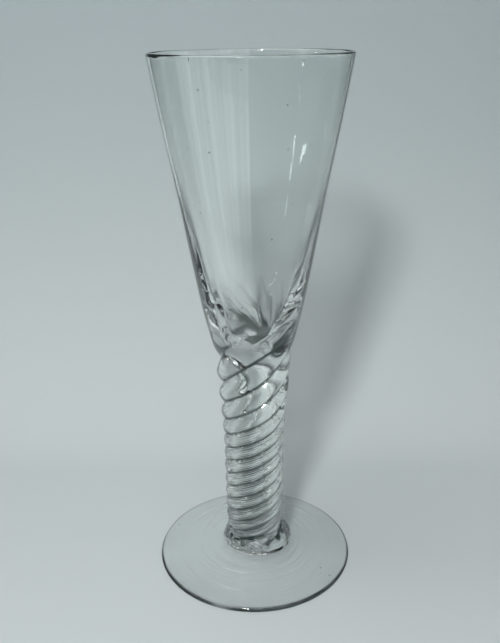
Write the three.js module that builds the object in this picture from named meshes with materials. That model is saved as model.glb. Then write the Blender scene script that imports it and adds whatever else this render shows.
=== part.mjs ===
// An ale glass: a tall conical bowl drawn down into a thick ribbed base,
// a solid stem of five ribs twisted like a rope, and a low conical foot with
// a domed boss. Lengths are in millimetres, +Z is up, and the foot stands
// on z = 0 with the axis of the glass on x = 0, y = 0.
import * as THREE from "three";

// Heights
const HEIGHT = 180;
const BOWL_BASE_Z = 78;
const CAVITY_FLOOR_Z = 86.1;
const STEM_BASE_Z = 12.6;

// Bowl
const RIM_RADIUS = 31.6;
const RIM_WALL = 1.2;
// Height and outer radius up the bowl, measured over the ribs where it has them
const BOWL_OUTLINE = [
  [BOWL_BASE_Z, 12.75],
  [83, 13.3],
  [90, 15.0],
  [98, 16.85],
  [108, 18.75],
  [121.5, 21.1],
  [135, 23.4],
  [160, 28.15],
];
// Height and radius of the hollow, from the lip down to the floor's edge
const CAVITY_OUTLINE = [
  [160, 27.2],
  [135, 22.3],
  [121.5, 19.3],
  [108, 15.7],
  [99, 12.4],
  [93, 9.3],
  [88.6, 6.3],
  [86.5, 3.6],
];
// The hollow is pleated like the ribs below it, more towards its floor
const CAVITY_PLEAT_SHARE = 0.09;
const CAVITY_PLEAT_TOP_Z = 104;

// Stem, height and radius measured over the crests of the ribs
const STEM_BASE_RADIUS = 9.8;
const STEM_OUTLINE = [
  [STEM_BASE_Z, STEM_BASE_RADIUS],
  [17, 10.25],
  [32, 10.5],
  [48, 10.75],
  [58, 11.3],
  [66, 12.0],
  [73, 12.7],
  [BOWL_BASE_Z, 12.75],
];

// Ribs, from the boss of the foot up to the thick base of the bowl
const RIB_COUNT = 5;
const RIB_STEP = (2 * Math.PI) / RIB_COUNT;
const RIB_TOP_Z = 93;
const RIB_BOTTOM_Z = 7.5;
// Height, and how far a rib's round back stands off the axis as a share of
// the crest radius: none leaves the stem round, more cuts deeper grooves
const RIB_SHARES = [
  [RIB_BOTTOM_Z, 0],
  [10, 0.13],
  [13, 0.19],
  [20, 0.22],
  [48, 0.23],
  [58, 0.32],
  [66, 0.44],
  [79, 0.48],
  [84, 0.36],
  [89, 0.12],
  [RIB_TOP_Z, 0],
];
// Height, and the distance up the stem from one rib to the next
const RIB_PITCHES = [
  [RIB_BOTTOM_Z, 3.7],
  [20, 4.9],
  [35, 5.3],
  [48, 5.1],
  [60, 6.6],
  [75, 9.4],
  [RIB_TOP_Z, 14],
];
// One groove is at this angle at this height, which turns all the ribs
const GROOVE_Z = 79.8;
const GROOVE_ANGLE = THREE.MathUtils.degToRad(-178);

// Foot
const FOOT_RADIUS = 35.6;
const FOOT_EDGE_ROUND = 0.95;
const FOOT_EDGE_END_ANGLE = THREE.MathUtils.degToRad(82);
const FOOT_TOP_Z = 5.0;
const FOOT_TOP_RADIUS = 17;
const REST_RING_OUTER = 34.4;
const REST_RING_INNER = 31.2;
// The hollow underside bends towards this radius and height
const KICK_RADIUS = 18;
const KICK_Z = 1.75;

// Boss, widest a little above the foot's top, with a soft fillet below it
// and a shoulder that its side bends round on the way in to the stem
const BOSS_RADIUS = 12.3;
const BOSS_Z = 7.3;
const BOSS_FILLET_RADIUS = 13;
const BOSS_FILLET_Z = 5.8;
const BOSS_SHOULDER_RADIUS = 11.2;
const BOSS_SHOULDER_Z = 9.6;

// Pontil scar, the broken stub in the hollow under the foot
const SCAR_SEAT_RADIUS = 7;
const SCAR_SEAT_Z = 2.3;
const SCAR_RADIUS = 5.6;
const SCAR_SHOULDER_Z = 1.55;
const SCAR_FACE_RADIUS = 3.9;
const SCAR_FACE_Z = 0.75;
const SCAR_CHIP_RADIUS = 1.7;
const SCAR_CHIP_Z = 1.45;
// The edge is uneven: waves round it, each swinging by this share of the radius
const SCAR_WAVES = [2, 3, 7];
const SCAR_WAVE_SHARE = 0.05;
const SCAR_TILT = 0.03;

// Clear glass with a faint grey-green cast
const BOWL_COLOUR = 0xc9d6d2;
const STEM_COLOUR = 0xc4d2cd;
const FOOT_COLOUR = 0xc6d3cf;
const SCAR_COLOUR = 0xbfccc8;
const GLASS_OPACITY = 0.35;
const POLISHED = 0.05;
const WORN = 0.08;
const BROKEN = 0.45;

// Fineness of the meshes
const SEGMENTS = 50;
const SCAR_SEGMENTS = 24;
const STEM_TIGHT_TOP_Z = 60;
const STEM_TIGHT_ROWS = 44;
const STEM_OPEN_ROWS = 10;
const BOWL_BASE_ROWS = 13;
const BOWL_WALL_ROWS = 8;
const LIP_ROWS = 4;
const CAVITY_ROWS = 20;
const CURVE_ROWS = 6;

// Reads a list of [height, value] stations, going up, along a smooth curve
function smoothAt(stations, z) {
  const last = stations.length - 1;
  let i = 0;
  while (i < last - 1 && z > stations[i + 1][0]) {
    i += 1;
  }
  const [z0, v0] = stations[i];
  const [z1, v1] = stations[i + 1];
  const before = stations[Math.max(i - 1, 0)];
  const after = stations[Math.min(i + 2, last)];
  const slope0 = (v1 - before[1]) / (z1 - before[0]);
  const slope1 = (after[1] - v0) / (after[0] - z0);
  const t = THREE.MathUtils.clamp((z - z0) / (z1 - z0), 0, 1);
  const span = z1 - z0;
  return (
    v0 * (1 + 2 * t) * (1 - t) ** 2 +
    slope0 * span * t * (1 - t) ** 2 +
    v1 * t * t * (3 - 2 * t) +
    slope1 * span * t * t * (t - 1)
  );
}

// Ribs passed going straight up the side from the lowest pitch to a height
function ribsPassed(z) {
  let passed = 0;
  for (let i = 0; i < RIB_PITCHES.length - 1; i += 1) {
    const [z0, pitch0] = RIB_PITCHES[i];
    const [z1, pitch1] = RIB_PITCHES[i + 1];
    const top = Math.min(z, z1);
    if (top > z0) {
      const grade = (pitch1 - pitch0) / (z1 - z0);
      passed += Math.log(1 + (grade * (top - z0)) / pitch0) / grade;
    }
  }
  return passed;
}

// Angle of one groove at a height: the ribs rise to the right in front
function grooveAngle(z) {
  return GROOVE_ANGLE + (ribsPassed(z) - ribsPassed(GROOVE_Z)) * RIB_STEP;
}

// One level ring of points whose seam follows a groove
function ring(z, radiusAt) {
  const points = [];
  for (let i = 0; i < SEGMENTS; i += 1) {
    const turn = (i / SEGMENTS) * 2 * Math.PI;
    const angle = grooveAngle(z) + turn;
    const radius = radiusAt(turn);
    points.push(
      new THREE.Vector3(radius * Math.cos(angle), radius * Math.sin(angle), z),
    );
  }
  return points;
}

// A ring of the ribbed outside: each rib is a round back set off the axis
function ribbedRing(crest, z) {
  const offset = crest * Math.max(smoothAt(RIB_SHARES, z), 0);
  const back = crest - offset;
  return ring(z, (turn) => {
    const fromCrest = (turn % RIB_STEP) - RIB_STEP / 2;
    const side = offset * Math.sin(fromCrest);
    return offset * Math.cos(fromCrest) + Math.sqrt(back * back - side * side);
  });
}

// A closed skin over a row of rings, closed at both ends on the axis
function skin(startZ, rings, endZ) {
  const count = rings[0].length;
  const positions = [0, 0, startZ];
  for (const points of rings) {
    for (const p of points) {
      positions.push(p.x, p.y, p.z);
    }
  }
  positions.push(0, 0, endZ);
  const lastVertex = rings.length * count + 1;
  const index = [];
  for (let i = 0; i < count; i += 1) {
    const next = (i + 1) % count;
    index.push(0, 1 + next, 1 + i);
    for (let row = 0; row < rings.length - 1; row += 1) {
      const low = 1 + row * count;
      const high = low + count;
      index.push(low + i, low + next, high + next);
      index.push(low + i, high + next, high + i);
    }
    const top = 1 + (rings.length - 1) * count;
    index.push(top + i, top + next, lastVertex);
  }
  const geometry = new THREE.BufferGeometry();
  geometry.setAttribute(
    "position",
    new THREE.Float32BufferAttribute(positions, 3),
  );
  geometry.setIndex(index);
  geometry.computeVertexNormals();
  return geometry;
}

// Evenly spaced heights, both ends included
function heights(from, to, rows) {
  const list = [];
  for (let i = 0; i <= rows; i += 1) {
    list.push(from + ((to - from) * i) / rows);
  }
  return list;
}

// One named piece of clear glass
function glass(name, geometry, color, roughness) {
  const material = new THREE.MeshStandardMaterial({
    color,
    roughness,
    metalness: 0,
    transparent: true,
    opacity: GLASS_OPACITY,
  });
  const mesh = new THREE.Mesh(geometry, material);
  mesh.name = name;
  return mesh;
}

// The bowl: outside up from the ribbed base, over the round lip, down the hollow
function makeBowl() {
  const lipRound = RIM_WALL / 2;
  const lipZ = HEIGHT - lipRound;
  const outline = [...BOWL_OUTLINE, [lipZ, RIM_RADIUS]];
  const outside = [
    ...heights(BOWL_BASE_Z, RIB_TOP_Z, BOWL_BASE_ROWS),
    ...heights(RIB_TOP_Z, lipZ, BOWL_WALL_ROWS).slice(1),
  ];
  const rings = outside.map((z) => ribbedRing(smoothAt(outline, z), z));
  for (let i = 1; i < LIP_ROWS; i += 1) {
    const angle = (Math.PI * i) / LIP_ROWS;
    const radius = RIM_RADIUS - lipRound + lipRound * Math.cos(angle);
    rings.push(ring(lipZ + lipRound * Math.sin(angle), () => radius));
  }
  rings.push(...hollowRings(lipZ));
  const geometry = skin(BOWL_BASE_Z, rings, CAVITY_FLOOR_Z);
  return glass("bowl", geometry, BOWL_COLOUR, POLISHED);
}

// Rings of the hollow from the lip down to its floor, closer together low down
function hollowRings(lipZ) {
  const hollow = [...CAVITY_OUTLINE].reverse();
  hollow.push([lipZ, RIM_RADIUS - RIM_WALL]);
  const floorEdgeZ = hollow[0][0];
  const rings = [];
  for (let i = 0; i <= CAVITY_ROWS; i += 1) {
    const share = (1 - i / CAVITY_ROWS) ** 2;
    const z = floorEdgeZ + (lipZ - floorEdgeZ) * share;
    const radius = smoothAt(hollow, z);
    const down = (CAVITY_PLEAT_TOP_Z - z) / (CAVITY_PLEAT_TOP_Z - floorEdgeZ);
    const pleat = CAVITY_PLEAT_SHARE * THREE.MathUtils.smoothstep(down, 0, 1);
    rings.push(ring(z, (turn) => radius * (1 - pleat * Math.cos(turn * RIB_COUNT))));
  }
  return rings;
}

// The stem: one solid ribbed and twisted column between foot and bowl
function makeStem() {
  const rows = [
    ...heights(STEM_BASE_Z, STEM_TIGHT_TOP_Z, STEM_TIGHT_ROWS),
    ...heights(STEM_TIGHT_TOP_Z, BOWL_BASE_Z, STEM_OPEN_ROWS).slice(1),
  ];
  const rings = rows.map((z) => ribbedRing(smoothAt(STEM_OUTLINE, z), z));
  const geometry = skin(STEM_BASE_Z, rings, BOWL_BASE_Z);
  return glass("stem", geometry, STEM_COLOUR, POLISHED);
}

// The foot's outline, from the hollow underside round the edge and up the boss
function footOutline() {
  const outline = new THREE.Path();
  outline.moveTo(SCAR_SEAT_RADIUS, SCAR_SEAT_Z);
  outline.quadraticCurveTo(KICK_RADIUS, KICK_Z, REST_RING_INNER, 0);
  outline.lineTo(REST_RING_OUTER, 0);
  outline.absarc(
    FOOT_RADIUS - FOOT_EDGE_ROUND,
    FOOT_EDGE_ROUND,
    FOOT_EDGE_ROUND,
    -Math.PI / 2,
    FOOT_EDGE_END_ANGLE,
  );
  outline.lineTo(FOOT_TOP_RADIUS, FOOT_TOP_Z);
  outline.quadraticCurveTo(BOSS_FILLET_RADIUS, BOSS_FILLET_Z, BOSS_RADIUS, BOSS_Z);
  outline.quadraticCurveTo(
    BOSS_SHOULDER_RADIUS,
    BOSS_SHOULDER_Z,
    STEM_BASE_RADIUS,
    STEM_BASE_Z,
  );
  return outline.getPoints(CURVE_ROWS);
}

// The foot: a low cone with a thin round edge, a rest ring and a ribbed boss
function makeFoot() {
  const rings = footOutline().map((point) => ribbedRing(point.x, point.y));
  const geometry = skin(SCAR_SEAT_Z, rings, STEM_BASE_Z);
  return glass("foot", geometry, FOOT_COLOUR, WORN);
}

// One ring of the pontil scar, uneven round its edge, and tilted if it is free
function scarRing(radius, z, tilt) {
  const points = [];
  for (let i = 0; i < SCAR_SEGMENTS; i += 1) {
    const angle = (i / SCAR_SEGMENTS) * 2 * Math.PI;
    let uneven = 1;
    for (const waves of SCAR_WAVES) {
      uneven += SCAR_WAVE_SHARE * Math.cos(waves * angle + waves);
    }
    const x = radius * uneven * Math.cos(angle);
    const y = radius * uneven * Math.sin(angle);
    points.push(new THREE.Vector3(x, y, z + tilt * x));
  }
  return points;
}

// The pontil scar: a low broken stub with an uneven edge and a chipped face
function makePontilScar() {
  const rings = [
    scarRing(SCAR_CHIP_RADIUS, SCAR_CHIP_Z, SCAR_TILT),
    scarRing(SCAR_FACE_RADIUS, SCAR_FACE_Z, SCAR_TILT),
    scarRing(SCAR_RADIUS, SCAR_SHOULDER_Z, SCAR_TILT),
    scarRing(SCAR_RADIUS, SCAR_SEAT_Z, 0),
  ];
  const geometry = skin(SCAR_CHIP_Z, rings, SCAR_SEAT_Z);
  return glass("pontil_scar", geometry, SCAR_COLOUR, BROKEN);
}

const root = new THREE.Group();
root.name = "ale_glass";
root.add(makeBowl());
root.add(makeStem());
root.add(makeFoot());
root.add(makePontilScar());

export default root;
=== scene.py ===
import math

import bpy
import numpy as np
from mathutils import Matrix, Vector


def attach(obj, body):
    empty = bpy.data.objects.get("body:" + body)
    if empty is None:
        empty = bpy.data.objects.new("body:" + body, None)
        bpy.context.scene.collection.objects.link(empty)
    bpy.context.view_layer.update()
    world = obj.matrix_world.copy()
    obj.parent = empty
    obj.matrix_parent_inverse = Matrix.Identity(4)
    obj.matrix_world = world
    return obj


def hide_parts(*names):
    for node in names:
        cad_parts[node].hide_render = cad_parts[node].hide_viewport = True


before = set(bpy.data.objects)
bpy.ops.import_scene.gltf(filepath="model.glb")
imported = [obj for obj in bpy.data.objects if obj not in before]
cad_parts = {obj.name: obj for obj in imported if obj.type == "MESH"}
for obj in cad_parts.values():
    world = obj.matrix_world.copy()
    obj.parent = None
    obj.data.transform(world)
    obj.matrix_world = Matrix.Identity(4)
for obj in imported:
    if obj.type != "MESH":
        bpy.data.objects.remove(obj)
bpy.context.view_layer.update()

# An old ale glass of clear glass on pale paper. Lengths are in millimetres
# unless a comment says metres, +Z is up, and the glass stands on z = 0.
MM = 0.001

# The camera, as fitted to the photograph, whose longer side is its height
PHOTO_HEIGHT_PIXELS = 643
FOCAL_PIXELS = 776
SENSOR_SIZE = 36
CAMERA_PLACE = (1.64, -246.96, 187.63)
CAMERA_YAW = math.radians(-0.61)
CAMERA_PITCH = math.radians(20.96)
CAMERA_ROLL = math.radians(-0.58)
# How near and how far the camera sees, in metres
CAMERA_NEAR = 0.01
CAMERA_FAR = 20

# Heights, as in the CAD model
HEIGHT = 180
BOWL_BASE_Z = 78
CAVITY_FLOOR_Z = 86.1
STEM_BASE_Z = 12.6

# The rim and the foot are a trace narrower than in the CAD model, so that the
# unevenness added here stays inside its box. The wall is the same.
RIM_RADIUS = 31.58
FOOT_RADIUS = 35.53
RIM_WALL = 1.2
LIP_ROUND = RIM_WALL / 2
LIP_Z = HEIGHT - LIP_ROUND

# Height and outer radius of stem and bowl over the crests of the ribs
OUTLINE = [
    (STEM_BASE_Z, 9.8),
    (17, 10.25),
    (32, 10.5),
    (48, 10.75),
    (58, 11.3),
    (66, 12.0),
    (73, 12.7),
    (BOWL_BASE_Z, 12.75),
    (83, 13.3),
    (90, 15.0),
    (98, 16.85),
    (108, 18.75),
    (121.5, 21.1),
    (135, 23.4),
    (160, 28.15),
    (LIP_Z, RIM_RADIUS),
]

# Radius and height of the hollow, from its floor up to the lip, with one
# guiding point beyond each end
CAVITY_OUTLINE = [
    (-3.6, 86.5),
    (0, CAVITY_FLOOR_Z),
    (3.6, 86.5),
    (6.3, 88.6),
    (9.3, 93),
    (12.4, 99),
    (15.7, 108),
    (19.3, 121.5),
    (22.3, 135),
    (27.2, 160),
    (RIM_RADIUS - RIM_WALL, LIP_Z),
    (34.18, 199.4),
]
# The hollow is pleated like the ribs, fully so below a height
PLEAT_SHARE = 0.09
PLEAT_TOP_Z = 104
PLEAT_FULL_Z = 87.2

# Ribs, as in the CAD model
RIB_COUNT = 5
RIB_STEP = 2 * math.pi / RIB_COUNT
RIB_TOP_Z = 93
RIB_BOTTOM_Z = 7.5
# Height, and how far a rib's round back stands off the axis as a share of the radius
RIB_SHARES = [
    (RIB_BOTTOM_Z, 0),
    (10, 0.13),
    (13, 0.19),
    (20, 0.22),
    (48, 0.23),
    (58, 0.32),
    (66, 0.44),
    (79, 0.48),
    (84, 0.36),
    (89, 0.12),
    (RIB_TOP_Z, 0),
]
# Height, and the distance up the stem from one rib to the next
RIB_PITCHES = [
    (RIB_BOTTOM_Z, 3.7),
    (20, 4.9),
    (35, 5.3),
    (48, 5.1),
    (60, 6.6),
    (75, 9.4),
    (RIB_TOP_Z, 14),
]
# One groove is at this angle at this height, which turns all the ribs
GROOVE_Z = 79.8
GROOVE_ANGLE = math.radians(-178)

# Foot, as in the CAD model but for its radius above
FOOT_EDGE_ROUND = 0.95
FOOT_TOP_Z = 5.0
FOOT_TOP_RADIUS = 17
REST_RING_OUTER = 34.4
REST_RING_INNER = 31.2
KICK_RADIUS = 18
KICK_Z = 1.75
SCAR_SEAT_RADIUS = 7
SCAR_SEAT_Z = 2.3
# Angle at which the round edge passes into the sloping top
FOOT_EDGE_END_ANGLE = math.radians(81.82)
# What lies over this height is the top of the foot
FOOT_TOP_FROM_Z = 1.5 * FOOT_EDGE_ROUND

# Radius and height of the boss round the stem, from the foot's top up to the
# stem, with one guiding point beyond each end
BOSS_OUTLINE = [
    (20, 4.3),
    (FOOT_TOP_RADIUS, FOOT_TOP_Z),
    (14.0, 5.8),
    (12.6, 6.5),
    (12.2, 7.3),
    (12.0, 8.3),
    (11.3, 9.3),
    (10.6, 10.3),
    (10.1, 11.4),
    (9.8, STEM_BASE_Z),
    (9.7, 14),
]
# The boss leans to one side, less near the stem and near the foot's top
BOSS_LEAN = 1.3
BOSS_LEAN_ANGLE = math.radians(45)
BOSS_LEAN_FADE_TOP = 3
BOSS_LEAN_FADE_FOOT = 1.5
BOSS_SWELL_POWER = 0.7

# Waves of hand work: how far they are shifted round the glass, and lean as they rise
WAVE_SHIFT = 0.21
WAVE_LEAN = 0.175
# Counts round the glass, seed of the places, and the height over which the waves lean
BOWL_WAVES = ((2, 3, 5, 9, 14), 3, HEIGHT)
CAVITY_WAVES = ((2, 4, 7, 11, 17, 23), 5, HEIGHT)
STEM_WAVES = ((2, 3, 5), 8, 30)
RIB_LINE_WAVES = ((1, 4, 5), 4, HEIGHT)
GROOVE_WAVES = ((2, 3, 5, 8), 21, 30)
STROKE_WAVES = ((9, 16, 25, 34), 15, 60)
BOSS_WAVES = ((2, 3, 5, 8, 13), 6, STEM_BASE_Z)
BOSS_CRUMPLE_WAVES = ((14, 19, 23, 31), 12, 2.1)
BOSS_SHADE_WAVES = ((5, 9, 16), 7, 2.52)
FOOT_FADE_WAVES = ((3, 7, 12), 2, HEIGHT)
FOOT_EDGE_WAVES = ((4, 9, 16), 9, HEIGHT)
# How far the waves move the surface
BOWL_UNEVEN = 0.06
CAVITY_UNEVEN = 0.1
STEM_UNEVEN = 0.05
BOSS_UNEVEN = 0.25
BOSS_CRUMPLE = 0.12
# They come up over this height of the bowl and radius of the hollow, and this
# fast from both ends of the stem
BOWL_WAVES_HEIGHT = 20
CAVITY_WAVES_RADIUS = 12
STEM_WAVES_RISE = 16

# Shallow lines along the backs of the ribs, below a height
RIB_LINE_DEPTH = 0.03
RIB_LINE_COUNT = 3
RIB_LINE_UNEVEN = 0.4
RIB_LINES_BELOW_Z = 64
RIB_LINES_FADE = 14
# On the boss they fade out with the ribs, below this share
BOSS_LINES_FULL_AT_SHARE = 0.25

# Radius, width and lift of the rings that the tool left on top of the foot
TOOL_RINGS = [(18.2, 0.5, 0.1), (21.2, 0.35, 0.16), (24.6, 0.5, 0.1), (28.8, 0.35, 0.14)]
TOOL_RIPPLE = 0.012
TOOL_SPIRAL_STEP = 1.7
TOOLED_RADIUS = FOOT_RADIUS - 2 * FOOT_EDGE_ROUND
TOOLED_FADE = 2

# Fineness of the meshes: points round a ring, as many on each rib, and rows
SEGMENTS = 200
STEM_SEGMENTS = 290
STEM_ROWS = 220
BOWL_BASE_ROWS = 64
BOWL_BASE_TOP_Z = 100
BOWL_WALL_ROWS = 60
LIP_ROWS = 12
CAVITY_CURVE_ROWS = 12
UNDERSIDE_ROWS = 40
FOOT_EDGE_ROWS = 14
FOOT_TOP_ROWS = 90
BOSS_CURVE_ROWS = 8

# Painted shade in the grooves: height, and how far a dark line reaches under its groove
GROOVE_REACH = [(14, 1.0), (56, 1.1), (66, 1.4), (80, 1.45)]
GROOVE_REACH_LEAST = 0.2
# Share of that reach over the groove, and share of it that never varies
GROOVE_OVER_SHARE = 0.5
GROOVE_STEADY_SHARE = 0.6
GROOVE_UNEVEN = 0.7
GROOVE_FULLNESS = 2
# A groove's painted shade is full where the ribs' share is this much
GROOVE_FULL_AT_SHARE = 0.2
# Place between crest and groove, width and darkness of the fine lines of painted shade on a rib
FINE_SHADE_LINES = [(0.2, 0.06, 0.55), (0.48, 0.08, 1), (0.74, 0.05, 0.8)]

# Painted shade in the hollow: dark folds, strokes and floor
FOLD_SHADE = 0.95
FOLD_SHARPNESS = 5
STROKE_LEAN = 0.06
STROKE_FROM = 0.25
STROKE_FULLNESS = 4
HOLLOW_FLOOR_SHADE = 0.7
HOLLOW_FLOOR_SHADE_RADIUS = 7
HOLLOW_FLOOR_SHADE_FADE = 3

# Grey of the bowl's thick base: partly the glass's own deeper tint, partly painted shade
THICK_TINT_AND_SHADE = 0.24
THICK_BELOW_Z = 106
THICK_FADE_TOP = 16
THICK_FADE_BASE = 8

# Painted shade of the tears in the bowl's base: angle, height, width, tallness and lean of each
PAINTED_BASE_TEARS = [
    (-157, 86, 3.6, 3.4, -0.5),
    (-45, 91.5, 2.4, 4.2, 0.75),
    (-52, 86.5, 2.6, 2.0, 0),
]
# Place and width of the clear ring in a tear's painted shade, counted in the tear's own size
TEAR_RING_PLACE = 0.55
TEAR_RING_WIDTH = 0.12
TEAR_RING_CLEAR = 0.8
TEAR_FULLNESS = 4

# Painted shade: dark drops in the grooves of the bowl's base, towards its left and right
DROP_Z = 86
DROP_TALL = 5
DROP_WIDTH = 0.4
DROP_SIDE_FROM = 0.5
DROP_SIDE_FADE = 0.3

# Painted shade on the foot: grey towards its edge, on the edge itself and on the boss
FOOT_FADE_SHADE = 0.16
FOOT_FADE_UNEVEN = 0.5
FOOT_RIM_SHADE = 0.95
FOOT_EDGE_UNEVEN = 0.3
FOOT_EDGE_POWER = 0.4
BOSS_SHADE = 0.4
BOSS_SHADE_UNEVEN = 0.75
BOSS_SHADE_RADIUS = 12.7
# Painted shade: angle, height and size of the dark tears where the stem was pressed on
PAINTED_BOSS_TEARS = [
    (-152, 9.6, 0.75),
    (-134, 9.1, 0.6),
    (-116, 9.0, 0.8),
    (-38, 9.8, 0.7),
    (-20, 10.4, 0.5),
]
BOSS_TEAR_FLATNESS = 1.5

# Height, and how much of the thick glass's wider painted shade the edges have
DEEP_BY_HEIGHT = [(84, 1), (152, 0)]
# Height, and how much of that painted shade the outer surface shows
OUTER_BY_HEIGHT = [(88, 0.3), (104, 0.75), (120, 1)]
# Height, and how dark a mark's painted shade looks from inside the glass, where 1 is as from
# outside
INSIDE_BY_HEIGHT = [(56, 0.15), (66, 0.9), (82, 0.9), (93, 0.4)]

# Clear glass with a faint grey-green cast
GLASS_IOR = 1.54
BOWL_TINT = (0.965, 0.985, 0.975)
STEM_TINT = (0.925, 0.97, 0.94)
FOOT_TINT = (0.94, 0.97, 0.96)
# Colour of the painted shade, which the tiny dark seeds share too
PAINTED_SHADE_AND_SEED_TINT = (0.004, 0.011, 0.009)
# Where the painted shade of the edges begins and is full, from 0 facing to 1 edge on
THIN_EDGE_SHADE = (0.82, 0.87)
THICK_EDGE_SHADE = (0.26, 0.66)
FOOT_EDGE_SHADE = (0.6, 0.87)
FACING_BLEND = 0.5
# Share of the light that reaches the shadow where the glass is facing and edge on
BOWL_SHADOW = (0.9, 0.33)
STEM_SHADOW = (0.5, 0.1)
FOOT_SHADOW = (0.98, 0.85)
# Soft waviness of the surface
SWELL_SIZE = 9
SWELL_HEIGHT = 0.02
SWELL_DETAIL = 1
# Patches of fine wear
WEAR_SIZE = 3
WEAR_DETAIL = 5
WEAR_FROM = 0.5
WEAR_ROUGHNESS = 0.1
# Tiny dark seeds
SEED_SPACING = 3
SEED_SIZE = 0.25
SEED_SHARE = 0.05
# Broken glass of the pontil scar
SCAR_GRAIN = 1.2
SCAR_DETAIL = 4
SCAR_ROUGHNESS = (0.05, 0.45)
SCAR_CHIP_STRENGTH = 0.5
SCAR_CHIP_DEPTH = 0.2

# Paper that bends up behind the glass
PAPER_COLOUR = (0.60, 0.66, 0.67)
# Colour at the paper's top: the paper darkens upward, a painted shade
PAPER_TOP_SHADE_COLOUR = (0.47, 0.54, 0.56)
PAPER_FLAT_Y = 60
PAPER_BEND_DEEP = 100
PAPER_BEND_HIGH = 200
PAPER_BEND_ROWS = 40
PAPER_TOP_Z = 215
PAPER_LEFT = -155
PAPER_RIGHT = 150

# Floor and paper lie a little below the foot. The floor's painted pool of light,
# wider than deep by this share, fades to painted shade in the colour of the walls.
FLOOR_DROP = 0.2
FLOOR_CENTRE_Y = 60
FLOOR_PALE_TO = 200
FLOOR_FADES_TO = 1200
FLOOR_WIDTH_SHARE = 1.3
ROOM_COLOUR = (0.42, 0.46, 0.47)
ROOM_STEPS = 96
# Room, in metres
ROOM_RADIUS = 1.5
ROOM_HEIGHT = 1.2

# Glowing cards round the front, this far from the glass in metres, which show
# once light has been mirrored more often than this
CARD_DISTANCE = 1.2
CARD_MIRRORS_FROM = 0.5
CARD_COLOUR = (0.93, 1.0, 1.0)
CARD_STEPS = 60
CARD_FADE_STEPS = 10
# Strength, count and phase of the bands across a card
CARD_BANDS = [(0.3, 13, 1), (0.2, 31, 0), (0.2, 57, 0)]
# Name, start and end angle, low and high edge in metres, brightness, and
# whether the card is seen through the glass
CARDS = [
    ("window", 3, 115, 0, 0.53, 1.1, True),
    ("skylight", -110, 60, 0.6, 2.2, 2.2, False),
    ("left_light_0", -69.6, -68, 0.455, 0.485, 20, True),
    ("left_light_1", -68.8, -67, 0.365, 0.395, 20, True),
    ("left_light_2", -68, -66.2, 0.318, 0.35, 20, True),
    ("left_light_3", -67.3, -66, 0.27, 0.29, 20, True),
    ("left_light_4", -88, -85, 0.3, 0.33, 20, True),
    ("front_light", 12, 18, 0, 0.17, 40, False),
]

# Name, angle round the glass, elevation, distance and size in metres, power,
# and whether the lamp is seen through the glass
LAMPS = [
    ("key", -12, 40, 0.5, 0.06, 1.8, True),
    ("overhead", -70, 72, 1.5, 1.0, 8.9, False),
]
LAMP_COLOUR = (1.0, 0.99, 0.98)
WORLD_COLOUR = (0.9, 0.97, 1.0)
WORLD_STRENGTH = 0.05

# How many times light may bend, mirror or pass on its way
GLASS_BOUNCES = 24
MIRROR_BOUNCES = 12


def smooth_at(stations, z):
    """Reads (height, value) stations along a smooth curve through them."""
    z = np.asarray(z, float)
    zs = np.array([s[0] for s in stations], float)
    vs = np.array([s[1] for s in stations], float)
    slopes = np.empty_like(vs)
    slopes[1:-1] = (vs[2:] - vs[:-2]) / (zs[2:] - zs[:-2])
    slopes[0] = (vs[1] - vs[0]) / (zs[1] - zs[0])
    slopes[-1] = (vs[-1] - vs[-2]) / (zs[-1] - zs[-2])
    i = np.clip(np.searchsorted(zs, z) - 1, 0, len(zs) - 2)
    span = zs[i + 1] - zs[i]
    t = np.clip((z - zs[i]) / span, 0, 1)
    return (
        vs[i] * (1 + 2 * t) * (1 - t) ** 2
        + slopes[i] * span * t * (1 - t) ** 2
        + vs[i + 1] * t * t * (3 - 2 * t)
        + slopes[i + 1] * span * t * t * (t - 1)
    )


def straight_at(stations, z):
    """Reads (height, value) stations along straight lines between them."""
    return np.interp(z, *zip(*stations))


def curve_through(points, rows):
    """Points along a smooth curve through all but the first and last points."""
    p = np.array(points, float)
    found = []
    for i in range(1, len(p) - 2):
        for t in np.linspace(0, 1, rows, endpoint=False):
            a = 2 * p[i]
            b = p[i + 1] - p[i - 1]
            c = 2 * p[i - 1] - 5 * p[i] + 4 * p[i + 1] - p[i + 2]
            d = -p[i - 1] + 3 * p[i] - 3 * p[i + 1] + p[i + 2]
            found.append((a + b * t + c * t**2 + d * t**3) / 2)
    found.append(p[-2])
    return np.array(found)


def arc(x, z, radius, start, end, rows):
    """Points of an arc in the outline's plane, both ends included."""
    return [
        (x + radius * math.cos(a), z + radius * math.sin(a))
        for a in np.linspace(start, end, rows)
    ]


def bend(start, control, end, rows):
    """Points of a curve that bends towards a control point, without its start."""
    start, control, end = np.array(start), np.array(control), np.array(end)
    return [
        (1 - t) ** 2 * start + 2 * t * (1 - t) * control + t * t * end
        for t in np.linspace(0, 1, rows)[1:]
    ]


def bump_at(off, width):
    """A soft bump, 1 in its middle and fading with the distance from it."""
    return np.exp(-((off / width) ** 2))


def fuller(worth, fullness):
    """A darkness from 0 to 1 that comes up sooner, and reaches 1 as before."""
    return 1 - (1 - worth) ** fullness


def waves(kind, angle, z):
    """A slow unevenness from 0 to about 1 either way, as in hand-blown glass."""
    counts, seed, height = kind
    rng = np.random.default_rng(seed)
    total = 0
    for count in counts:
        phase, shift, lean = rng.uniform(0, 2 * math.pi, 3)
        swing = WAVE_SHIFT * math.sin(shift) + WAVE_LEAN * math.sin(lean) * z / height
        total = total + np.sin(count * (angle + swing) + phase) / len(counts)
    return total


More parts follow.
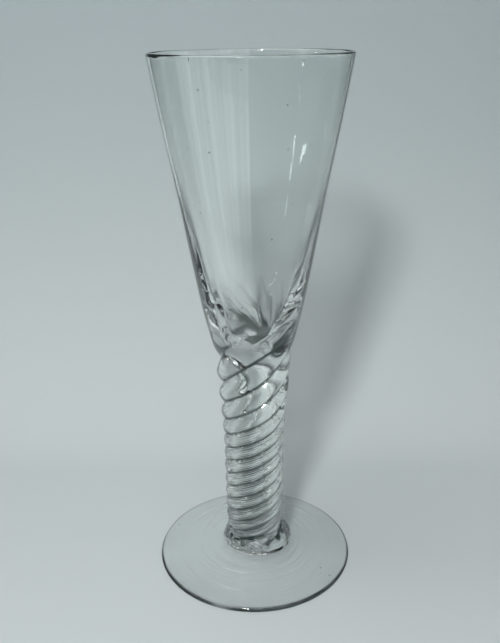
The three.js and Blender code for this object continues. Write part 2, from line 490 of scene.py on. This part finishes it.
def ribs_passed(z):
    """Ribs passed going up the stem to a height."""
    passed = 0
    for (z0, pitch0), (z1, pitch1) in zip(RIB_PITCHES, RIB_PITCHES[1:]):
        grade = (pitch1 - pitch0) / (z1 - z0)
        rise = np.clip(z, z0, z1) - z0
        passed += np.log(1 + grade * rise / pitch0) / grade
    return passed


def groove_angle(z):
    """Angle of one groove at a height: the ribs rise to the right in front."""
    return GROOVE_ANGLE + float(ribs_passed(z) - ribs_passed(GROOVE_Z)) * RIB_STEP


def turns(segments=SEGMENTS):
    """Angles round a ring, counted from its seam, which lies in a groove."""
    return np.arange(segments) * 2 * math.pi / segments


def off_crest(turn):
    """Angle from the nearest crest of a rib."""
    return turn % RIB_STEP - RIB_STEP / 2


def groove_nearness(turn):
    """From 0 on the crest of a rib to 1 in a groove."""
    return np.abs(off_crest(turn)) / (RIB_STEP / 2)


def rib_share(z):
    """How far the ribs' backs stand off the axis at a height, none where they end."""
    return max(float(smooth_at(RIB_SHARES, z)), 0)


def ribbed_radius(crest, share, turn):
    """Radius of a ribbed section: each rib is a round back set off the axis."""
    offset = crest * share
    back = crest - offset
    side = offset * np.sin(off_crest(turn))
    return offset * np.cos(off_crest(turn)) + np.sqrt(back * back - side * side)


def ring_at(radius, angle, z):
    """Points of a ring with a radius and a height at each angle."""
    return np.stack((radius * np.cos(angle), radius * np.sin(angle), z + 0 * angle), 1)


def lines_strength(z):
    """How strong the fine lines on the ribs are at a height, from 0 to 1."""
    return np.clip((RIB_LINES_BELOW_Z - z) / RIB_LINES_FADE, 0, 1)


def rib_lines(turn, z):
    """Shallow lines drawn along the backs of the ribs, lower down the stem."""
    depth = RIB_LINE_DEPTH * (1 + RIB_LINE_UNEVEN * waves(RIB_LINE_WAVES, turn, z))
    return -lines_strength(z) * depth * np.cos(RIB_LINE_COUNT * RIB_COUNT * turn)


def painted_groove_shade(turn, z):
    """Painted shade of the ribs' lines round a ring: in grooves, and fine ones on the backs."""
    near = groove_nearness(turn)
    uneven = 1 + GROOVE_UNEVEN * waves(GROOVE_WAVES, groove_angle(z) + turn, z)
    steady = GROOVE_STEADY_SHARE + (1 - GROOVE_STEADY_SHARE) * uneven
    reach = straight_at(GROOVE_REACH, z) * steady
    reach = reach * np.where(off_crest(turn) > 0, 1, GROOVE_OVER_SHARE)
    width = np.maximum(reach, GROOVE_REACH_LEAST) / (straight_at(RIB_PITCHES, z) / 2)
    groove = fuller(np.clip((near - 1 + width) / width, 0, 1), GROOVE_FULLNESS)
    fine = sum(dark * bump_at(near - place, wide) for place, wide, dark in FINE_SHADE_LINES)
    marks = np.clip(groove + lines_strength(z) * uneven * fine, 0, 1)
    return marks * min(rib_share(z) / GROOVE_FULL_AT_SHARE, 1)


def ribbed_ring(z, unevenness, segments):
    """A ring of the ribbed outside, whose seam follows a groove."""
    turn = turns(segments)
    radius = ribbed_radius(smooth_at(OUTLINE, z), rib_share(z), turn)
    return ring_at(radius + unevenness(turn, z), groove_angle(z) + turn, z)


def arc_from(angle, place, radius):
    """Distance round a ring from a place given in degrees."""
    turned = angle - math.radians(place)
    return radius * ((turned + math.pi) % (2 * math.pi) - math.pi)


def tear(squared):
    """Painted shade of a tear at a squared distance, counted in its own sizes."""
    return fuller(np.exp(-(squared**2)), TEAR_FULLNESS)


def base_tear_shade(angle, radius, z):
    """Painted shade of the tears in the bowl's base, each with a clear ring in it."""
    dark = 0
    for place, height, width, tall, lean in PAINTED_BASE_TEARS:
        side = arc_from(angle, place, radius) - lean * (z - height)
        squared = (side / width) ** 2 + ((z - height) / tall) ** 2
        ring = TEAR_RING_CLEAR * bump_at(np.sqrt(squared) - TEAR_RING_PLACE, TEAR_RING_WIDTH)
        dark = dark + tear(squared) * (1 - ring)
    return dark


def thick_tint_and_shade(z):
    """Grey of the bowl's thick base at a height: partly the glass's deeper tint, partly painted
    shade.
    """
    from_top = np.clip((THICK_BELOW_Z - z) / THICK_FADE_TOP, 0, 1)
    from_base = np.clip((z - BOWL_BASE_Z) / THICK_FADE_BASE, 0, 1)
    return THICK_TINT_AND_SHADE * from_top * from_base


def set_values(mesh, name, values):
    """Gives each point of a mesh a value that its finish reads."""
    found = mesh.attributes.new(name, "FLOAT", "POINT")
    found.data.foreach_set("value", np.asarray(values, np.float32))


def ring_normals(below, ring, above):
    """Normals of a smooth surface at a ring, from the rings below and above it."""
    along = np.roll(ring, -1, 0) - np.roll(ring, 1, 0)
    normals = np.cross(along, above - below)
    return normals / np.linalg.norm(normals, axis=1, keepdims=True)


def mark_sharp(mesh, firsts, count):
    """Makes rings of edges sharp, each given by its first point."""
    ends = np.empty(len(mesh.edges) * 2, int)
    mesh.edges.foreach_get("vertices", ends)
    ends = ends.reshape(-1, 2)
    sharp = np.zeros(len(mesh.edges), bool)
    for first in firsts:
        sharp |= ((ends >= first) & (ends < first + count)).all(1)
    mesh.attributes.new("sharp_edge", "BOOLEAN", "EDGE").data.foreach_set("value", sharp)


def skin_faces(count, last, joints):
    """Faces over rings of points, with a fan at each end, and each face's finish.

    The points are numbered from 0 on the axis, over the rings, to the last on
    the axis. A fan whose end is in joints has the second finish.
    """
    faces, slots = [], []
    for i in range(count):
        after = (i + 1) % count
        faces.append((0, 1 + after, 1 + i))
        slots.append(int("start" in joints))
        for low in range(1, last - count, count):
            high = low + count
            faces.append((low + i, low + after, high + after, high + i))
            slots.append(0)
        faces.append((last - count + i, last - count + after, last))
        slots.append(int("end" in joints))
    return faces, slots


def glass_skin(name, rings, marks, ends_z, finish, joint, joints):
    """A closed smooth piece over rings, darkened by marks of painted shade, with a fan at each
    end.

    A fan whose end is in joints meets other glass. Where that glass carries the
    surface on smoothly, joints holds the ring past the fan, and otherwise None.
    """
    count = len(rings[0])
    points = [(0, 0, ends_z[0]), *np.concatenate(rings), (0, 0, ends_z[1])]
    last = len(points) - 1
    first_of = {"start": 1, "end": last - count}
    faces, slots = skin_faces(count, last, joints)
    mesh = bpy.data.meshes.new(name)
    mesh.from_pydata([Vector(p) * MM for p in points], [], faces)
    mesh.materials.append(finish)
    mesh.materials.append(joint)
    mesh.polygons.foreach_set("material_index", slots)
    mesh.polygons.foreach_set("use_smooth", [True] * len(faces))
    mark_sharp(mesh, [first_of[end] for end in joints], count)
    heights = np.array(points, float)[:, 2]
    set_values(mesh, "groove", np.concatenate([[0], *marks, [0]]))
    set_values(mesh, "deep", straight_at(DEEP_BY_HEIGHT, heights))
    set_values(mesh, "inside", straight_at(INSIDE_BY_HEIGHT, heights))
    set_values(mesh, "outer", straight_at(OUTER_BY_HEIGHT, heights))
    mesh.update()
    normals = np.zeros((len(points), 3))
    if joints.get("start") is not None:
        normals[1 : 1 + count] = ring_normals(joints["start"], rings[0], rings[1])
    if joints.get("end") is not None:
        normals[last - count : last] = ring_normals(rings[-2], rings[-1], joints["end"])
    if normals.any():
        mesh.normals_split_custom_set_from_vertices(normals)
    piece = bpy.data.objects.new(name, mesh)
    bpy.context.scene.collection.objects.link(piece)
    return piece


def bowl_unevenness(turn, z):
    """How far the bowl's outside is out of true, none at its base."""
    lift = np.clip((z - BOWL_BASE_Z) / BOWL_WAVES_HEIGHT, 0, 1) ** 2
    return BOWL_UNEVEN * lift * waves(BOWL_WAVES, groove_angle(z) + turn, z)


def bowl_shade_and_tint(z):
    """How dark the bowl's outside is round a ring: painted shade, and the thick base's tint."""
    turn = turns()
    angle = groove_angle(z) + turn
    # Painted shade: dark drops in the grooves, towards the left and right sides
    beside = np.clip((np.abs(np.cos(angle)) - DROP_SIDE_FROM) / DROP_SIDE_FADE, 0, 1)
    drop = bump_at(z - DROP_Z, DROP_TALL) * bump_at(groove_nearness(turn) - 1, DROP_WIDTH)
    dark = base_tear_shade(angle, smooth_at(OUTLINE, z), z)
    return np.clip(painted_groove_shade(turn, z) + thick_tint_and_shade(z) + beside * drop + dark, 0, 1)


def pleat_depth(z):
    """How deep the pleats are at a height in the hollow, from 0 to 1."""
    return np.clip((PLEAT_TOP_Z - z) / (PLEAT_TOP_Z - PLEAT_FULL_Z), 0, 1)


def cavity_ring(radius, z):
    """A ring of the pleated hollow."""
    turn = turns()
    angle = groove_angle(z) + turn
    down = pleat_depth(z)
    pleat = PLEAT_SHARE * down * down * (3 - 2 * down)
    swing = np.clip(radius / CAVITY_WAVES_RADIUS, 0, 1)
    uneven = CAVITY_UNEVEN * swing * waves(CAVITY_WAVES, angle, z)
    return ring_at(radius * (1 - pleat * np.cos(RIB_COUNT * turn)) + uneven, angle, z)


def cavity_shade_and_tint(radius, z):
    """How dark the hollow is round a ring: painted shade in folds, strokes and on its floor, and
    the thick base's tint and painted shade.
    """
    turn = turns()
    fold = ((1 - np.cos(RIB_COUNT * turn)) / 2) ** FOLD_SHARPNESS
    leaning = groove_angle(z) + turn - STROKE_LEAN * (z - CAVITY_FLOOR_Z)
    strokes = np.clip(waves(STROKE_WAVES, leaning, z) - STROKE_FROM, 0, 1)
    pleats = pleat_depth(z) * (fold * FOLD_SHADE + fuller(strokes, STROKE_FULLNESS))
    floor = HOLLOW_FLOOR_SHADE * np.clip((HOLLOW_FLOOR_SHADE_RADIUS - radius) / HOLLOW_FLOOR_SHADE_FADE, 0, 1)
    return np.clip(pleats + floor + thick_tint_and_shade(z), 0, 1)


def make_bowl(finish, joint):
    """The bowl: outside up from the ribbed base, over the lip, down the hollow."""
    heights = [
        *np.linspace(BOWL_BASE_Z, BOWL_BASE_TOP_Z, BOWL_BASE_ROWS, endpoint=False),
        *np.linspace(BOWL_BASE_TOP_Z, LIP_Z, BOWL_WALL_ROWS),
    ]
    lip = arc(RIM_RADIUS - LIP_ROUND, LIP_Z, LIP_ROUND, 0, math.pi, LIP_ROWS)[1:-1]
    cavity = curve_through(CAVITY_OUTLINE, CAVITY_CURVE_ROWS)[:0:-1]
    lip_angle = groove_angle(LIP_Z) + turns()
    rings = [ribbed_ring(z, bowl_unevenness, SEGMENTS) for z in heights]
    rings += [ring_at(radius, lip_angle, z) for radius, z in lip]
    rings += [cavity_ring(radius, z) for radius, z in cavity]
    marks = [bowl_shade_and_tint(z) for z in heights]
    marks += [np.zeros(SEGMENTS) for _ in lip]
    marks += [cavity_shade_and_tint(radius, z) for radius, z in cavity]
    below = ribbed_ring(2 * BOWL_BASE_Z - heights[1], bowl_unevenness, SEGMENTS)
    ends_z = (BOWL_BASE_Z, CAVITY_FLOOR_Z)
    bowl = glass_skin("glass_bowl", rings, marks, ends_z, finish, joint, {"start": below})
    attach(bowl, "root")
    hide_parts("bowl")


def stem_unevenness(turn, z):
    """How far the stem is out of true, only by its fine lines at both ends."""
    inside = math.sin(math.pi * (z - STEM_BASE_Z) / (BOWL_BASE_Z - STEM_BASE_Z))
    slow = STEM_UNEVEN * min(1, STEM_WAVES_RISE * inside**2)
    return slow * waves(STEM_WAVES, groove_angle(z) + turn, z) + rib_lines(turn, z)


def make_stem(finish, joint):
    """The stem: one solid ribbed and twisted column between foot and bowl."""
    heights = np.linspace(STEM_BASE_Z, BOWL_BASE_Z, STEM_ROWS)
    rings = [ribbed_ring(z, stem_unevenness, STEM_SEGMENTS) for z in heights]
    marks = [painted_groove_shade(turns(STEM_SEGMENTS), z) for z in heights]
    above = ribbed_ring(2 * BOWL_BASE_Z - heights[-2], stem_unevenness, STEM_SEGMENTS)
    ends_z = (STEM_BASE_Z, BOWL_BASE_Z)
    joints = {"start": None, "end": above}
    stem = glass_skin("glass_stem", rings, marks, ends_z, finish, joint, joints)
    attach(stem, "root")
    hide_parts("stem")


def foot_outline():
    """Radius and height of the foot: underside, round edge, sloping top and boss."""
    seat = (SCAR_SEAT_RADIUS, SCAR_SEAT_Z)
    underside = bend(seat, (KICK_RADIUS, KICK_Z), (REST_RING_INNER, 0), UNDERSIDE_ROWS)
    edge = arc(
        FOOT_RADIUS - FOOT_EDGE_ROUND,
        FOOT_EDGE_ROUND,
        FOOT_EDGE_ROUND,
        -math.pi / 2,
        FOOT_EDGE_END_ANGLE,
        FOOT_EDGE_ROWS,
    )
    slope = np.linspace(edge[-1], (FOOT_TOP_RADIUS, FOOT_TOP_Z), FOOT_TOP_ROWS)[1:]
    boss = curve_through(BOSS_OUTLINE, BOSS_CURVE_ROWS)[1:]
    return [seat, *underside, (REST_RING_OUTER, 0), *edge, *slope, *boss]


def tool_lift(angle, radius):
    """Faint rings and a spiral left by the tool on the turning foot."""
    spiral = radius + TOOL_SPIRAL_STEP * (angle % (2 * math.pi)) / (2 * math.pi)
    lift = TOOL_RIPPLE * np.sin(2 * math.pi * spiral / TOOL_SPIRAL_STEP)
    for ring, width, height in TOOL_RINGS:
        lift = lift + height * bump_at(spiral - ring, width)
    return lift * np.clip((TOOLED_RADIUS - radius) / TOOLED_FADE, 0, 1)


def boss_swell(angle, z):
    """How far the boss is out of round: uneven, crumpled and leaning to one side."""
    up = (STEM_BASE_Z - z) / (STEM_BASE_Z - FOOT_TOP_Z)
    uneven = BOSS_UNEVEN * waves(BOSS_WAVES, angle, z)
    crumple = BOSS_CRUMPLE * waves(BOSS_CRUMPLE_WAVES, angle, z)
    below_stem = (STEM_BASE_Z - z) / BOSS_LEAN_FADE_TOP
    above_foot = (z - FOOT_TOP_Z) / BOSS_LEAN_FADE_FOOT
    lean = BOSS_LEAN * math.sin(math.pi / 2 * min(1, below_stem, above_foot))
    swell = math.sin(math.pi * up) ** BOSS_SWELL_POWER * (uneven + crumple)
    return swell + lean * np.cos(angle - BOSS_LEAN_ANGLE)


def boss_painted_shade(angle, radius, z):
    """Painted shade of the boss round a ring, with the dark tears at the stem."""
    dark = BOSS_SHADE * (1 + BOSS_SHADE_UNEVEN * waves(BOSS_SHADE_WAVES, angle, z))
    for place, height, size in PAINTED_BOSS_TEARS:
        side = arc_from(angle, place, radius)
        dark = dark + tear((side**2 + BOSS_TEAR_FLATNESS * (z - height) ** 2) / size**2)
    return dark


def foot_ring_and_shade(radius, z):
    """A ring of the foot, and its painted shade round it."""
    turn = turns(STEM_SEGMENTS)
    angle = groove_angle(max(z, RIB_BOTTOM_Z)) + turn
    share = rib_share(z)
    outward = (radius - FOOT_TOP_RADIUS) / (FOOT_RADIUS - FOOT_TOP_RADIUS)
    # Painted shade: the foot greys towards its edge and darkens on its round edge
    fade = 1 + FOOT_FADE_UNEVEN * waves(FOOT_FADE_WAVES, angle, 0)
    marks = FOOT_FADE_SHADE * np.clip(outward, 0, 1) ** 2 * fade
    rim = (radius - FOOT_RADIUS + FOOT_EDGE_ROUND) / FOOT_EDGE_ROUND
    edge = 1 + FOOT_EDGE_UNEVEN * waves(FOOT_EDGE_WAVES, angle, 0)
    marks = marks + FOOT_RIM_SHADE * np.clip(rim, 0, 1) ** FOOT_EDGE_POWER * edge
    swell = min(1, share / BOSS_LINES_FULL_AT_SHARE) * rib_lines(turn, z)
    lift = 0
    if z > FOOT_TOP_FROM_Z:
        lift = tool_lift(angle, radius)
        if radius < FOOT_TOP_RADIUS:
            swell = swell + boss_swell(angle, z)
        if radius < BOSS_SHADE_RADIUS:
            marks = marks + boss_painted_shade(angle, radius, z)
    ring = ring_at(ribbed_radius(radius, share, turn) + swell, angle, z + lift)
    return ring, marks + painted_groove_shade(turn, z)


def make_foot(finish, joint):
    """The foot: a low cone with a thin round edge, a rest ring and a soft boss."""
    rings, marks = zip(*[foot_ring_and_shade(radius, z) for radius, z in foot_outline()])
    ends_z = (SCAR_SEAT_Z, STEM_BASE_Z)
    foot = glass_skin("glass_foot", rings, marks, ends_z, finish, joint, {"end": None})
    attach(foot, "root")
    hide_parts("foot")


class Finish:
    """A material in the making, with short ways to add its nodes."""

    def __init__(self, name):
        self.material = bpy.data.materials.new(name)
        self.material.use_nodes = True
        self.tree = self.material.node_tree
        self.tree.nodes.clear()

    def feed(self, node, inputs):
        """Gives inputs of a node plain values, or the outputs of other nodes."""
        for key, value in inputs.items():
            if isinstance(value, bpy.types.NodeSocket):
                self.tree.links.new(value, node.inputs[key])
            else:
                node.inputs[key].default_value = value

    def add(self, kind, inputs=None):
        """Adds a node and returns its outputs."""
        node = self.tree.nodes.new(kind)
        self.feed(node, inputs or {})
        return node.outputs

    def math(self, operation, first, second):
        """What one operation makes of two values."""
        node = self.tree.nodes.new("ShaderNodeMath")
        node.operation = operation
        self.feed(node, {0: first, 1: second})
        return node.outputs["Value"]

    def vector_math(self, operation, first, second, result):
        """What one operation makes of two vectors."""
        node = self.tree.nodes.new("ShaderNodeVectorMath")
        node.operation = operation
        self.feed(node, {0: first, 1: second})
        return node.outputs[result]

    def mapped(self, value, start, end, to_start=0, to_end=1, smooth=False):
        """A value's place between start and end, as a place between two others."""
        node = self.tree.nodes.new("ShaderNodeMapRange")
        if smooth:
            node.interpolation_type = "SMOOTHSTEP"
        self.feed(node, {"Value": value, "From Min": start, "From Max": end})
        self.feed(node, {"To Min": to_start, "To Max": to_end})
        return node.outputs["Result"]

    def mesh_value(self, name):
        """A value that the mesh has at each point."""
        node = self.tree.nodes.new("ShaderNodeAttribute")
        node.attribute_name = name
        return node.outputs["Fac"]

    def noise(self, size, detail):
        """Soft noise over the piece, of a size in millimetres."""
        place = self.add("ShaderNodeTexCoord")["Object"]
        inputs = {"Vector": place, "Scale": 1 / (size * MM), "Detail": detail}
        return self.add("ShaderNodeTexNoise", inputs)["Fac"]

    def mixed_tint(self, share, first, second):
        """A colour between two colours."""
        node = self.tree.nodes.new("ShaderNodeMix")
        node.data_type = "RGBA"
        self.feed(node, {"Factor": share, "A": (*first, 1), "B": (*second, 1)})
        return node.outputs["Result"]

    def mixed(self, share, first, second):
        """A surface between two surfaces."""
        return self.add("ShaderNodeMixShader", {"Fac": share, 1: first, 2: second})["Shader"]

    def clear(self, colour=(1, 1, 1, 1)):
        """A surface that light passes straight through."""
        return self.add("ShaderNodeBsdfTransparent", {"Color": colour})["BSDF"]

    def glass(self, tint, roughness, normal):
        """Clear glass that bends and mirrors light."""
        inputs = {
            "Base Color": tint,
            "Roughness": roughness,
            "Normal": normal,
            "IOR": GLASS_IOR,
            "Transmission Weight": 1,
        }
        return self.add("ShaderNodeBsdfPrincipled", inputs)["BSDF"]

    def lit_through(self, glass, share):
        """Glass whose shadow keeps a share of the light."""
        ray = self.add("ShaderNodeLightPath")
        either = self.math("MAXIMUM", ray["Is Shadow Ray"], ray["Is Diffuse Ray"])
        return self.mixed(either, glass, self.clear(share))

    def done(self, surface):
        """The finished material, which shows a surface."""
        self.add("ShaderNodeOutputMaterial", {"Surface": surface})
        return self.material


def seeds(finish):
    """One for the few tiny dark seeds in old glass, zero elsewhere."""
    place = finish.add("ShaderNodeTexCoord")["Object"]
    inputs = {"Vector": place, "Scale": 1 / (SEED_SPACING * MM)}
    cells = finish.add("ShaderNodeTexVoronoi", inputs)
    near = finish.math("LESS_THAN", cells["Distance"], SEED_SIZE / SEED_SPACING)
    pick = finish.add("ShaderNodeSeparateColor", {"Color": cells["Color"]})["Red"]
    few = finish.math("GREATER_THAN", pick, 1 - SEED_SHARE)
    return finish.math("MULTIPLY", near, few)


def glass_finish(name, tint, shadow, thin_edge_shade, thick_edge_shade):
    """Clear glass with painted shade along its marks and where it turns away, soft waves and
    fine wear.
    """
    finish = Finish(name)
    # Painted shade: the colour darkens towards the edges, where the glass turns from the view,
    # and along the painted marks of the mesh
    inner = finish.add("ShaderNodeNewGeometry")["Backfacing"]
    turned = finish.add("ShaderNodeLayerWeight", {"Blend": FACING_BLEND})["Facing"]
    shown = finish.mapped(inner, 0, 1, finish.mesh_value("outer"), 1)
    deep = finish.math("MULTIPLY", finish.mesh_value("deep"), shown)
    edge_from = finish.mapped(deep, 0, 1, thin_edge_shade[0], thick_edge_shade[0])
    edge_full = finish.mapped(deep, 0, 1, thin_edge_shade[1], thick_edge_shade[1])
    edge = finish.mapped(turned, edge_from, edge_full, smooth=True)
    seen = finish.mapped(inner, 0, 1, 1, finish.mesh_value("inside"))
    marks = finish.math("MULTIPLY", finish.mesh_value("groove"), seen)
    dark = finish.math("MAXIMUM", finish.math("MAXIMUM", edge, marks), seeds(finish))
    colour = finish.mixed_tint(dark, tint, PAINTED_SHADE_AND_SEED_TINT)
    wear = finish.noise(WEAR_SIZE, WEAR_DETAIL)
    roughness = finish.mapped(wear, WEAR_FROM, 1, 0, WEAR_ROUGHNESS)
    swell = {"Height": finish.noise(SWELL_SIZE, SWELL_DETAIL), "Distance": SWELL_HEIGHT * MM}
    wavy = finish.add("ShaderNodeBump", swell)["Normal"]
    glass = finish.glass(colour, roughness, wavy)
    passes = finish.mapped(turned, 0, 1, shadow[0], shadow[1])
    return finish.done(finish.lit_through(glass, passes))


def scar_finish():
    """Broken glass: clear inside, rough and chipped outside."""
    finish = Finish("broken_glass")
    grain = finish.noise(SCAR_GRAIN, SCAR_DETAIL)
    roughness = finish.mapped(grain, 0, 1, SCAR_ROUGHNESS[0], SCAR_ROUGHNESS[1])
    chipped = {
        "Height": grain,
        "Strength": SCAR_CHIP_STRENGTH,
        "Distance": SCAR_CHIP_DEPTH * MM,
    }
    chips = finish.add("ShaderNodeBump", chipped)["Normal"]
    glass = finish.glass((*FOOT_TINT, 1), roughness, chips)
    return finish.done(finish.lit_through(glass, (1, 1, 1, 1)))


def joint_finish():
    """The fused joint inside the glass, which shows nothing."""
    finish = Finish("fused_joint")
    return finish.done(finish.clear())


def dress_scar():
    """Gives the pontil scar of the CAD model its broken glass."""
    broken = scar_finish()
    for material_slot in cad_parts["pontil_scar"].material_slots:
        material_slot.material = broken


def fading_paper(finish, measure, start, end, colours):
    """Matt paper whose colour fades over a range of a measure."""
    ramp = finish.tree.nodes.new("ShaderNodeValToRGB")
    ramp.color_ramp.interpolation = "EASE"
    for stop, colour in zip(ramp.color_ramp.elements, colours):
        stop.color = (*colour, 1)
    finish.feed(ramp, {"Fac": finish.mapped(measure, start * MM, end * MM)})
    return finish.add("ShaderNodeBsdfDiffuse", {"Color": ramp.outputs["Color"]})["BSDF"]


def floor_finish():
    """Paper with a painted pool of light near the glass, fading to painted shade with the
    distance.
    """
    finish = Finish("floor_paper")
    place = finish.add("ShaderNodeNewGeometry")["Position"]
    narrowed = finish.vector_math("MULTIPLY", place, (1 / FLOOR_WIDTH_SHARE, 1, 1), "Vector")
    centre = (0, FLOOR_CENTRE_Y * MM, 0)
    away = finish.vector_math("DISTANCE", narrowed, centre, "Value")
    colours = (PAPER_COLOUR, ROOM_COLOUR)
    return finish.done(fading_paper(finish, away, FLOOR_PALE_TO, FLOOR_FADES_TO, colours))


def backdrop_finish():
    """Paper that darkens with height, a painted shade, and is clear from behind."""
    finish = Finish("backdrop_paper")
    place = finish.add("ShaderNodeNewGeometry")
    height = finish.add("ShaderNodeSeparateXYZ", {"Vector": place["Position"]})["Z"]
    colours = (PAPER_COLOUR, PAPER_TOP_SHADE_COLOUR)
    paper = fading_paper(finish, height, 0, PAPER_TOP_Z, colours)
    return finish.done(finish.mixed(place["Backfacing"], paper, finish.clear()))


def wall_finish():
    """A plain dim wall."""
    finish = Finish("room_wall")
    return finish.done(finish.add("ShaderNodeBsdfDiffuse", {"Color": (*ROOM_COLOUR, 1)})["BSDF"])


def card_finish(name):
    """A glow as bright as the mesh says, seen only where the glass mirrors it."""
    finish = Finish(name)
    mirrors = finish.add("ShaderNodeLightPath")["Glossy Depth"]
    some = finish.math("GREATER_THAN", mirrors, CARD_MIRRORS_FROM)
    glow = {"Color": (*CARD_COLOUR, 1), "Strength": finish.mesh_value("brightness")}
    shining = finish.add("ShaderNodeEmission", glow)["Emission"]
    return finish.done(finish.mixed(some, finish.clear(), shining))


def stage_sheet(name, points, faces, finish):
    """A smooth sheet of the stage, from points in metres."""
    mesh = bpy.data.meshes.new(name)
    mesh.from_pydata(points, [], faces)
    mesh.polygons.foreach_set("use_smooth", [True] * len(faces))
    mesh.materials.append(finish)
    sheet = bpy.data.objects.new(name, mesh)
    bpy.context.scene.collection.objects.link(sheet)
    return sheet


def ladder(points):
    """Quads between the neighbouring pairs of a row of pairs of points."""
    return [(i, i + 1, i + 3, i + 2) for i in range(0, len(points) - 2, 2)]


def room_ring(z):
    """Points round the room at a height."""
    around = np.arange(ROOM_STEPS) * 2 * math.pi / ROOM_STEPS
    return [(ROOM_RADIUS * math.cos(a), ROOM_RADIUS * math.sin(a), z) for a in around]


def make_floor():
    """A round pale floor."""
    points = room_ring(-FLOOR_DROP * MM)
    stage_sheet("floor", points, [tuple(range(ROOM_STEPS))], floor_finish())


def make_walls():
    """The walls of a dim room round the floor."""
    points = room_ring(-FLOOR_DROP * MM) + room_ring(ROOM_HEIGHT)
    faces = []
    for i in range(ROOM_STEPS):
        after = (i + 1) % ROOM_STEPS
        faces.append((i, ROOM_STEPS + i, ROOM_STEPS + after, after))
    stage_sheet("walls", points, faces, wall_finish())


def make_backdrop():
    """A sheet of paper that bends up behind the glass."""
    far_y = PAPER_FLAT_Y + PAPER_BEND_DEEP
    profile = []
    for a in np.linspace(0, math.pi / 2, PAPER_BEND_ROWS):
        y = PAPER_FLAT_Y + PAPER_BEND_DEEP * math.sin(a)
        profile.append((y, PAPER_BEND_HIGH * (1 - math.cos(a))))
    profile.append((far_y, PAPER_TOP_Z))
    points = [
        (x * MM, y * MM, (z - FLOOR_DROP) * MM)
        for y, z in profile
        for x in (PAPER_LEFT, PAPER_RIGHT)
    ]
    stage_sheet("backdrop", points, ladder(points), backdrop_finish())


def make_card(name, start, end, low, high, brightness, seen_through):
    """An upright card in front of the glass, unevenly bright, dimmer at its end."""
    points, worth = [], []
    angles = np.linspace(math.radians(start), math.radians(end), CARD_STEPS)
    for left, a in zip(range(CARD_STEPS - 1, -1, -1), angles):
        fade = math.sin(math.pi / 2 * min(1, left / CARD_FADE_STEPS))
        bands = 1 + sum(much * math.sin(count * a + phase) for much, count, phase in CARD_BANDS)
        for z in (low, high):
            points.append((CARD_DISTANCE * math.sin(a), -CARD_DISTANCE * math.cos(a), z))
            worth.append(brightness * bands * fade)
    card = stage_sheet(name, points, ladder(points), card_finish(name))
    set_values(card.data, "brightness", worth)
    card.visible_camera = False
    card.visible_diffuse = False
    card.visible_shadow = False
    card.visible_transmission = seen_through


def make_lamp(name, azimuth, elevation, distance, size, power, seen_through):
    """A soft square lamp aimed at the middle of the glass, azimuth from -Y to +X."""
    light = bpy.data.lights.new(name, "AREA")
    light.shape = "SQUARE"
    light.size = size
    light.energy = power
    light.color = LAMP_COLOUR
    lamp = bpy.data.objects.new(name, light)
    lamp.visible_transmission = seen_through
    a, e = math.radians(azimuth), math.radians(elevation)
    back = Vector((math.sin(a) * math.cos(e), -math.cos(a) * math.cos(e), math.sin(e)))
    lamp.location = Vector((0, 0, HEIGHT * MM / 2)) + back * distance
    lamp.rotation_mode = "QUATERNION"
    lamp.rotation_quaternion = (-back).to_track_quat("-Z", "Y")
    bpy.context.scene.collection.objects.link(lamp)


def make_world():
    """A dim even room."""
    world = bpy.data.worlds.new("room")
    world.use_nodes = True
    background = world.node_tree.nodes["Background"]
    background.inputs["Color"].default_value = (*WORLD_COLOUR, 1)
    background.inputs["Strength"].default_value = WORLD_STRENGTH
    bpy.context.scene.world = world


def make_camera():
    """The camera of the photograph."""
    yaw, pitch, roll = CAMERA_YAW, CAMERA_PITCH, CAMERA_ROLL
    level = Vector((math.cos(yaw), -math.sin(yaw), 0))
    ahead = Vector((math.sin(yaw), math.cos(yaw), 0))
    forward = ahead * math.cos(pitch) - Vector((0, 0, math.sin(pitch)))
    above = level.cross(forward)
    right = level * math.cos(roll) + above * math.sin(roll)
    up = above * math.cos(roll) - level * math.sin(roll)
    data = bpy.data.cameras.new("camera")
    data.sensor_width = SENSOR_SIZE
    data.lens = SENSOR_SIZE * FOCAL_PIXELS / PHOTO_HEIGHT_PIXELS
    data.clip_start = CAMERA_NEAR
    data.clip_end = CAMERA_FAR
    camera = bpy.data.objects.new("camera", data)
    turned = Matrix((right, up, -forward)).transposed().to_4x4()
    camera.matrix_world = Matrix.Translation(Vector(CAMERA_PLACE) * MM) @ turned
    bpy.context.scene.collection.objects.link(camera)
    bpy.context.scene.camera = camera


def set_view():
    """The view transform, and enough bounces for light inside the glass."""
    scene = bpy.context.scene
    scene.view_settings.view_transform = "Standard"
    scene.cycles.max_bounces = GLASS_BOUNCES
    scene.cycles.transmission_bounces = GLASS_BOUNCES
    scene.cycles.glossy_bounces = MIRROR_BOUNCES
    scene.cycles.transparent_max_bounces = GLASS_BOUNCES


make_camera()
joint = joint_finish()
make_bowl(glass_finish("bowl_glass", BOWL_TINT, BOWL_SHADOW, THIN_EDGE_SHADE, THICK_EDGE_SHADE), joint)
make_stem(glass_finish("stem_glass", STEM_TINT, STEM_SHADOW, THIN_EDGE_SHADE, THICK_EDGE_SHADE), joint)
make_foot(glass_finish("foot_glass", FOOT_TINT, FOOT_SHADOW, FOOT_EDGE_SHADE, FOOT_EDGE_SHADE), joint)
dress_scar()
make_floor()
make_walls()
make_backdrop()
for card in CARDS:
    make_card(*card)
for lamp in LAMPS:
    make_lamp(*lamp)
make_world()
set_view()
